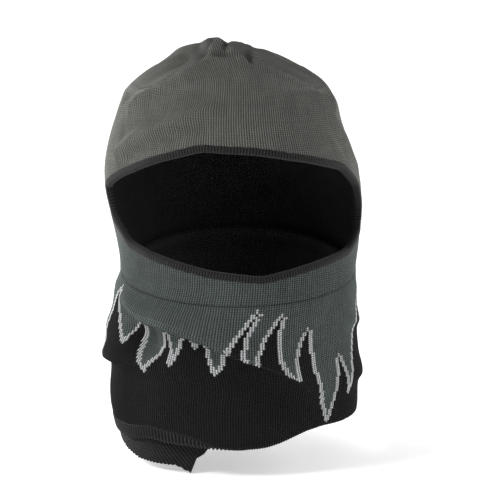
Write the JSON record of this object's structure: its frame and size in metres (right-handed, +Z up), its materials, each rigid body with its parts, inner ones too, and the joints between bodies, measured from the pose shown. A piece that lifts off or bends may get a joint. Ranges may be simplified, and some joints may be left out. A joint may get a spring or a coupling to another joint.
{
  "type": "balaclava",
  "caption": "Two-layer fine-knit balaclava: grey hood with a bound face opening and gathered crown, neck tube with black flames, ribbed hem and black lining.",
  "frame": {"origin": "middle of the wearer's head, level with the eyes and midway between the ears, where the head holds the fabric", "axes": "+Z up through the crown, -Y forwards out of the face opening, +X towards the wearer's left"},
  "size_m": [0.1785, 0.2021, 0.2847],
  "materials": {
    "grey_knit": "fine grey jersey knit, matt with a soft bloom",
    "flame_knit": "fine jacquard knit in blue-grey, pale grey and black, matt",
    "black_knit": "fine black jersey knit, matt",
    "black_rib": "black ribbed knit, matt",
    "grey_thread": "grey sewing thread",
    "black_thread": "black sewing thread",
    "label_tape": "off-white woven tape, blank"
  },
  "bodies": {
    "root": {"hood_shell": "grey_knit", "hood_lining": "black_knit", "neck_shell": "flame_knit", "neck_lining": "black_knit", "hem_rib": "black_rib", "lining_rib": "black_rib", "face_binding": "black_rib", "neck_seam": "grey_thread", "hem_seam": "black_thread", "brow_stitch": "grey_thread", "crown_seam_1": "grey_thread", "crown_seam_2": "grey_thread", "crown_seam_3": "grey_thread", "crown_seam_4": "grey_thread", "care_label": "label_tape"}
  },
  "joints": []
}
